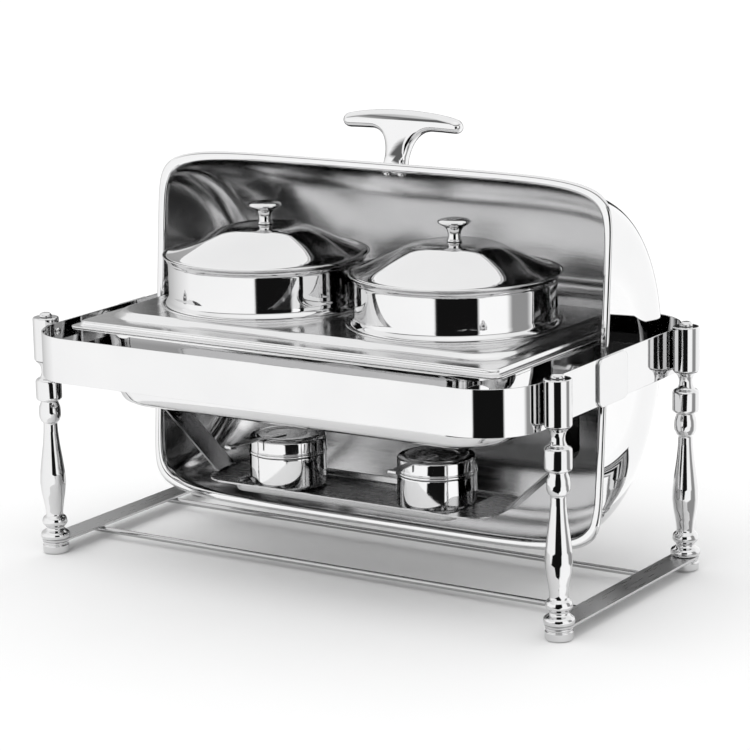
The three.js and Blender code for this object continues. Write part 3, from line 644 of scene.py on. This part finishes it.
def make_plate():
    low, high = box_mm("adapter_plate")
    half_x, half_y = high.x, high.y
    bottom, top = low.z, high.z
    rows = [
        (200, 90, 38, top - 1.6), (236.4, 121.4, 39, top - 1.6), (244.6, 129.6, 44, 266.8),
        (255.8, 153.3, 9, 266.1), (257.2, 154.7, 9, bottom), (half_x, half_y, 10, bottom),
        (half_x, half_y, 10, 263.2), (259.6, 157, 10, 263.4), (258, 155.4, 10, 264.4),
        (257.4, 154.8, 10, 267.2), (256, 153.4, 10, 268.1), (247.6, 132.6, 45, 268.5),
        (244, 129, 43, 270), (240.6, 125.6, 41, 273.8), (237, 122, 39, top), (200, 90, 38, top),
    ]
    plate = lofted("plate", rows, SATIN, fillet=1.4)
    plate.modifiers.clear()
    hole = 102.5
    for sign in SIDES.values():
        drill(plate, hole, 30, 160, at(sign * POT_X, 0, top - 15))
    ring = [
        (111.2, top + 0.05), (111.6, top + 0.9), (112.6, top + 1.2), (113.8, top + 0.7),
        (114.6, top + 0.05),
    ]
    rings = [
        turned(f"ring_{side}", ring, SATIN, at(sign * POT_X, 0), fillet=0.4, segments=160, closed=True)
        for side, sign in SIDES.items()
    ]
    hand_in(fair(join_pieces(plate, *rings)), "adapter_plate", "satin_steel", "adapter_plate")


def make_pot(side, sign):
    place = at(sign * POT_X, 0)
    seat = 275.3
    wall = 106
    lip = box_mm(f"pot_{side}")[1].z
    pot = [
        (0, 190), (90, 190), (96, 191), (99.2, 195), (100, 201), (100, seat), (109.6, seat),
        (110.3, seat + 0.8), (109.2, seat + 3), (106.6, seat + 6.2), (wall, seat + 10), (wall, lip - 9.4),
        (106.3, lip - 8.4), (107.6, lip - 7.8), (107.9, lip - 6.4), (108.4, lip - 4.6), (110.6, lip - 2.4),
        (112, lip - 1), (112, lip - 0.1), (111, lip), (109.4, lip - 0.6), (107, lip - 3.4), (104.6, lip - 7),
        (wall - SHEET, lip - 10), (wall - SHEET, seat + 9), (100.4, seat + 4), (98.5, seat), (98.5, 201),
        (97.6, 196.4), (95, 192.6), (90, 191.5), (0, 191.5),
    ]
    turned_part(
        f"soup_pot_{side}", pot, place, f"pot_{side}", f"pot_{side}", MIRROR, fillet=1.6, segments=160,
    )


def make_lid(side, sign):
    place = at(sign * POT_X, 0)
    body = f"lid_{side}"
    top = box_mm(f"lid_{side}")[1].z
    lid = [
        (2.8, top), (14, top), (26, top - 0.15), (37, top - 1.1), (47, top - 3.7), (57, top - 8.1),
        (70, top - 14.4), (84, top - 21.4), (96, top - 26.8), (104, top - 29.4), (107.4, top - 30),
        (108.4, top - 30.6), (107.6, top - 31.2), (103.6, top - 30.8), (95.4, top - 28.2),
        (83.4, top - 23), (69.4, top - 16), (56.4, top - 9.8), (46.4, top - 5.3), (36.6, top - 2.7),
        (26, top - 1.7), (2.8, top - 1.6),
    ]
    turned_part(
        f"soup_lid_{side}", lid, place, f"lid_{side}", body, MIRROR, fillet=7, segments=160, closed=True,
    )
    knob_low, knob_high = box_mm(f"lid_knob_{side}")
    foot, tip = knob_low.z, knob_high.z
    knob = [
        (0, 370), (2.3, 370), (2.3, foot), (7.8, foot), (8.2, foot + 0.8), (7.8, foot + 1.8), (7, foot + 2.4),
        (6.8, foot + 6), (6.9, foot + 9), (7.9, foot + 12.4), (10.4, foot + 15.4), (14.4, foot + 17.6),
        (17.2, tip - 5.2), (17.8, tip - 4.2), (17.2, tip - 2.8), (15, tip - 1.5), (9.4, tip - 0.4), (0, tip),
    ]
    turned_part(f"knob_{side}", knob, place, f"lid_knob_{side}", body, fillet=1.4, segments=64)
    screw_low, screw_high = box_mm(f"knob_screw_{side}")
    head, end = screw_low.z, screw_high.z
    screw = [
        (0, head), (3.6, head + 0.2), (5, head + 1.4), (5, head + 2.6), (2, head + 2.6), (2, end), (0, end),
    ]
    turned_part(f"lid_screw_{side}", screw, place, f"knob_screw_{side}", body, fillet=0.5, segments=32)


# ------------------------------------------------------------------ cover

COVER = at(0, 0, PIVOT_Z) @ Matrix.Rotation(-COVER_LEAN, 4, "X")
DROP = 21.8                      # from the pivot axis to the plane of the rim
RIM_X = 286                      # outer half length of the rolled rim
SHELL_X, SHELL_Z = 278.1, 188.1
DEPTH = 166.4
POWER_X, POWER_Z = 6.3, 14.9     # squareness of the shell along its length and across
STATIONS, TURNS = 120, 64


def station(step, steps, half_x):
    angle = (step / steps - 0.5) * math.pi
    x = math.copysign(half_x * abs(math.sin(angle)) ** (2 / POWER_X), angle)
    at_pole = step in (0, steps)
    return x, 0.0 if at_pole else math.cos(angle) ** (2 / POWER_Z)


def shell_skin(half_x, half_z, depth):
    verts = []
    for step in range(STATIONS + 1):
        x, reach = station(step, STATIONS, half_x)
        for turn in range(TURNS + 1):
            angle = (turn / TURNS - 0.5) * math.pi
            verts.append((x, DROP + depth * reach * math.cos(angle), half_z * reach * math.sin(angle)))
    return verts, grid_faces(STATIONS + 1, TURNS + 1, False)


def rim_loop(half_x, half_z, depth):
    upper, lower = [], []
    for step in range(STATIONS + 1):
        x, reach = station(step, STATIONS, half_x)
        upper.append((x, DROP + depth, half_z * reach))
        lower.append((x, DROP + depth, -half_z * reach))
    return upper + lower[::-1][1:-1]


def make_cover_shell():
    outer, faces = shell_skin(SHELL_X, SHELL_Z, DEPTH)
    inner, inner_faces = shell_skin(SHELL_X - SHEET, SHELL_Z - SHEET, DEPTH - SHEET)
    verts = outer + inner
    faces = faces + [tuple(len(outer) + i for i in face) for face in inner_faces]
    zones = [0] * len(inner_faces) + [1] * len(inner_faces)
    wide = RIM_X - SHELL_X
    path = [
        (0, 0), (0.6, 2), (2.4, 2.5), (wide - 2, 2.4), (wide - 0.4, 1.2), (wide, -0.6), (wide - 0.6, -2),
        (wide - 2.2, -2.9), (wide / 2, -3), (1.6, -2.8), (-0.6, -1.8), (-SHEET, 0),
    ]
    loops = [rim_loop(SHELL_X + p[0], SHELL_Z + p[0], p[1]) for p in corner_rounded(path, 1.0, 3)]
    start = len(verts)
    for loop in loops:
        verts += loop
    rim_faces = [tuple(start + i for i in face) for face in grid_faces(len(loops), len(loops[0]), True)]
    faces += rim_faces
    zones += [0] * len(rim_faces)
    shell = make_piece("shell", verts, faces, [MIRROR, INSIDE], COVER, zones)
    hand_in(shell, "cover", "polished_steel", "cover_shell")


HANDLE_TILT = math.radians(15)
HANDLE_ROOT = (0, DROP + 36.8, 183.5)
HANDLE_PLACE = COVER @ at(*HANDLE_ROOT) @ Matrix.Rotation(-HANDLE_TILT, 4, "X")


def bezier(start, *corners, steps=14):
    """Points of a cubic curve from the start through three control points, without the start."""
    p0, p1, p2, p3 = (Vector(p) for p in (start, *corners))
    out = []
    for step in range(1, steps + 1):
        t = step / steps
        s = 1 - t
        out.append(p0 * s ** 3 + p1 * (3 * s * s * t) + p2 * (3 * s * t * t) + p3 * t ** 3)
    return out


def handle_half_outline():
    points = [Vector((13.8, -3)), Vector((13.6, 16))]
    points += bezier((13.6, 16), (14.4, 32), (21, 46.2), (38, 46.4))
    points += bezier((38, 46.4), (48, 46.4), (58, 46), (66, 45.8), steps=6)
    points += bezier((66, 45.8), (75.6, 46), (77, 57), (68.6, 60.6))
    points += bezier((68.6, 60.6), (50, 65.6), (24, 67.4), (0, 67.4))
    return points


# How far the handle's edge comes in at each distance from its middle plane.
HANDLE_EDGE = ((0, 0), (0.3, 2.6), (1.2, 4.8), (2.8, 6.5), (4.8, 7.5), (6.8, 8.0))
HANDLE_SCREW = [(0, -5.8), (2.8, -5.4), (4.2, -4.2), (4.2, -2.3), (2, -2.3), (2, 8), (0, 8)]
HANDLE_SCREW_X = 9


def make_handle():
    half = handle_half_outline()
    outline = half + [Vector((-p.x, p.y)) for p in reversed(half[:-1])]
    count = len(outline)
    front = []
    for inset, depth in HANDLE_EDGE:
        for i, point in enumerate(outline):
            ahead = outline[(i + 1) % count] - outline[i - 1]
            moved = point + Vector((-ahead.y, ahead.x)).normalized() * inset
            front.append((moved.x, -depth, moved.y))
    faces = grid_faces(len(HANDLE_EDGE), count, True)
    faces.append(tuple(range(len(front) - count, len(front))))
    back = [(x, -y, z) for x, y, z in front]
    faces += [tuple(len(front) + i for i in reversed(face)) for face in faces]
    handle = make_piece("handle", front + back, faces, [MIRROR], HANDLE_PLACE)
    hand_in(handle, "cover", "polished_steel", "cover_handle")
    for side, sign in SIDES.items():
        place = HANDLE_PLACE @ at(sign * HANDLE_SCREW_X, 0)
        turned_part(
            f"grip_screw_{side}", HANDLE_SCREW, place, f"handle_screw_{side}", "cover",
            fillet=0.5, segments=32,
        )


def make_arm(side, sign):
    inner_x, thickness, half = 286.8, 3, 13
    back = DROP + 40
    arc_steps = 24
    angles = [step * math.pi / arc_steps for step in range(1, arc_steps)]
    rounded_end = [(0, half), *((-half * math.sin(a), half * math.cos(a)) for a in angles), (0, -half)]
    straight = corner_rounded([(back, -half), (back, half), (0, half)], 3, 3)[:-1]
    outline = straight + [Vector(p) for p in rounded_end]
    start = inner_x if sign > 0 else -inner_x - thickness
    plate = prism(f"arm_{side}", outline, thickness, MIRROR, COVER @ at(start, 0) @ IN_YZ, 0.5)
    drill(plate, SHAFT_HOLE, 20, 48, COVER @ along_x(start - 8, 0, 0))
    near_x, far_x = sorted((sign * (SHELL_X + GAP), sign * (inner_x + 0.5)))
    foot = block((near_x, DROP + 12, -half), (far_x, back, half))
    arm = join_pieces(plate, make_piece("foot", *foot, [MIRROR], COVER))
    hand_in(fair(arm), "cover", "polished_steel", f"cover_arm_{side}")


# ------------------------------------------------------------------ assembly

make_band()
for corner, signs in CORNERS.items():
    make_leg(corner, *signs)
for side, sign in SIDES.items():
    make_side_bar(side, sign)
    make_pivot(side)
    make_bracket(side, sign)
    make_burner(side, sign)
    make_pot(side, sign)
    make_lid(side, sign)
    make_arm(side, sign)
make_cross_rod("front")
make_cross_rod("rear")
make_tray()
make_pan()
make_plate()
make_cover_shell()
make_handle()


# ------------------------------------------------------------------ studio

FLOOR_HALF, FLOOR_DROP = 30, 0.0002          # in metres
FLOOR_DARK, FLOOR_LIGHT = (0.84, 0.84, 0.84), (0.86, 0.86, 0.86)


def make_floor():
    """A wide, pale and fully matte floor, a hair under the feet."""
    material, nodes, links, shader = new_material("pale_floor")
    cloud = noise_node(nodes, links, 3.0, EVEN, 2.0)
    links.new(tint(nodes, links, cloud, FLOOR_DARK, FLOOR_LIGHT), shader.inputs["Base Color"])
    shader.inputs["Roughness"].default_value = 1.0
    shader.inputs["Specular IOR Level"].default_value = 0.0
    mesh = bpy.data.meshes.new("floor")
    corners = [(x * FLOOR_HALF, y * FLOOR_HALF, 0) for x, y in ((-1, -1), (1, -1), (1, 1), (-1, 1))]
    mesh.from_pydata(corners, [], [(0, 1, 2, 3)])
    mesh.materials.append(material)
    floor = bpy.data.objects.new("floor", mesh)
    floor.location.z = -FLOOR_DROP
    bpy.context.scene.collection.objects.link(floor)


def fill_ramp(ramp, stops):
    """Sets a colour ramp's grey stops from [position, tone] pairs."""
    elements = ramp.color_ramp.elements
    for i, (position, tone) in enumerate(stops):
        element = elements[i] if i < 2 else elements.new(position)
        element.position = position
        element.color = (tone, tone, tone, 1)


# Brightness of the boards round the object by azimuth: 0 is in front of it, 90 to its right.
BOARD_TONES = [
    (-180, 0.02), (-132, 0.02), (-128, 0.3), (-100, 0.55), (-65, 0.93), (15, 0.97), (17, 0.006), (58, 0.006),
    (60, 1.0), (88, 1.0), (94, 0.28), (112, 0.28), (120, 0.95), (176, 0.95), (179, 0.02),
]
BOARD_STRENGTH, SKY_STRENGTH = 1.32, 1.25
BOARD_NEAR, BOARD_FAR = 0.42, 1.1            # radii in metres of the ring on the floor and the wall
BOARD_FOOT, BOARD_TOP = 0.0005, 0.75

# Brightness of the light above by the upward part of the direction: under the wide diffuser, a dim
# strip on the camera's side.
SKY_TONES = [(0.0, 1.0), (0.36, 1.0), (0.40, 0.12), (0.54, 0.12), (0.62, 0.8), (0.9, 1.0)]
SKY_BRIGHT = (0.9, 0.9, 0.9)                 # behind the object
SKY_FADE = (-0.1, 0.2)                       # from behind the object to the camera's side


def make_wall():
    """White and black boards round the object, seen only in its reflections."""
    material, nodes, links, shader = new_material("studio_boards")
    nodes.remove(shader)
    place = nodes.new("ShaderNodeTexCoord")
    split = nodes.new("ShaderNodeSeparateXYZ")
    links.new(place.outputs["Object"], split.inputs[0])
    flip = nodes.new("ShaderNodeMath")
    flip.operation = "MULTIPLY"
    flip.inputs[1].default_value = -1
    links.new(split.outputs["Y"], flip.inputs[0])
    angle = nodes.new("ShaderNodeMath")
    angle.operation = "ARCTAN2"
    links.new(split.outputs["X"], angle.inputs[0])
    links.new(flip.outputs[0], angle.inputs[1])
    ramp = nodes.new("ShaderNodeValToRGB")
    fill_ramp(ramp, [((azimuth + 180) / 360, tone) for azimuth, tone in BOARD_TONES])
    links.new(mapped(nodes, links, angle.outputs[0], -math.pi, math.pi), ramp.inputs["Fac"])
    glow = nodes.new("ShaderNodeEmission")
    links.new(ramp.outputs["Color"], glow.inputs["Color"])
    glow.inputs["Strength"].default_value = BOARD_STRENGTH
    links.new(glow.outputs[0], nodes["Material Output"].inputs["Surface"])
    near, far, foot, top = (measure / MM for measure in (BOARD_NEAR, BOARD_FAR, BOARD_FOOT, BOARD_TOP))
    verts, faces = lathe_mesh([(near, foot), (far, foot), (far, top)], 180)
    wall = make_piece("studio_wall", verts, faces, [material])
    shade(wall.data, False)
    for ray in ("camera", "diffuse", "shadow", "transmission", "volume_scatter"):
        setattr(wall, f"visible_{ray}", False)


SUN_PLACE, SUN_TARGET = Vector((-0.8, -1.0, 2.8)), Vector((0, 0, 0.2))
SUN_SOFTNESS, SUN_POWER = math.radians(70), 0.7


def make_sun():
    """A wide, soft distant light from above, out of sight of the reflections."""
    data = bpy.data.lights.new("key", "SUN")
    data.angle = SUN_SOFTNESS
    data.energy = SUN_POWER
    light = bpy.data.objects.new("key", data)
    light.location = SUN_PLACE
    light.rotation_mode = "QUATERNION"
    light.rotation_quaternion = (SUN_TARGET - SUN_PLACE).to_track_quat("-Z", "Y")
    light.visible_glossy = False
    bpy.context.scene.collection.objects.link(light)


def make_world():
    """The light above: the toned sky on the camera's side and an even one behind the object."""
    world = bpy.data.worlds.new("studio")
    world.use_nodes = True
    nodes, links = world.node_tree.nodes, world.node_tree.links
    background = nodes["Background"]
    background.inputs["Strength"].default_value = SKY_STRENGTH
    direction = nodes.new("ShaderNodeTexCoord")
    split = nodes.new("ShaderNodeSeparateXYZ")
    ramp = nodes.new("ShaderNodeValToRGB")
    fill_ramp(ramp, SKY_TONES)
    links.new(direction.outputs["Generated"], split.inputs[0])
    links.new(split.outputs["Z"], ramp.inputs["Fac"])
    toward_camera = nodes.new("ShaderNodeVectorMath")
    toward_camera.operation = "DOT_PRODUCT"
    toward_camera.inputs[1].default_value = (math.sin(CAMERA_YAW), -math.cos(CAMERA_YAW), 0)
    links.new(direction.outputs["Generated"], toward_camera.inputs[0])
    mix = nodes.new("ShaderNodeMix")
    mix.data_type = "RGBA"
    mix.inputs["A"].default_value = (*SKY_BRIGHT, 1)
    links.new(mapped(nodes, links, toward_camera.outputs["Value"], *SKY_FADE), mix.inputs["Factor"])
    links.new(ramp.outputs["Color"], mix.inputs["B"])
    links.new(mix.outputs["Result"], background.inputs["Color"])
    bpy.context.scene.world = world


CAMERA_PLACE = (1.65583, -2.51770, 0.89311)
CAMERA_YAW, CAMERA_PITCH, CAMERA_ROLL = 0.57683, -0.22465, -0.02063
CAMERA_SENSOR, CAMERA_LENS = 36, 139.27


def make_camera():
    data = bpy.data.cameras.new("camera")
    data.sensor_width = CAMERA_SENSOR
    data.lens = CAMERA_LENS
    camera = bpy.data.objects.new("camera", data)
    turn = (
        Matrix.Rotation(CAMERA_YAW, 4, "Z")
        @ Matrix.Rotation(math.pi / 2 + CAMERA_PITCH, 4, "X")
        @ Matrix.Rotation(CAMERA_ROLL, 4, "Z")
    )
    camera.matrix_world = Matrix.Translation(CAMERA_PLACE) @ turn
    bpy.context.scene.collection.objects.link(camera)
    bpy.context.scene.camera = camera


make_floor()
make_wall()
make_world()
make_sun()
make_camera()
bpy.context.scene.view_settings.view_transform = "Standard"
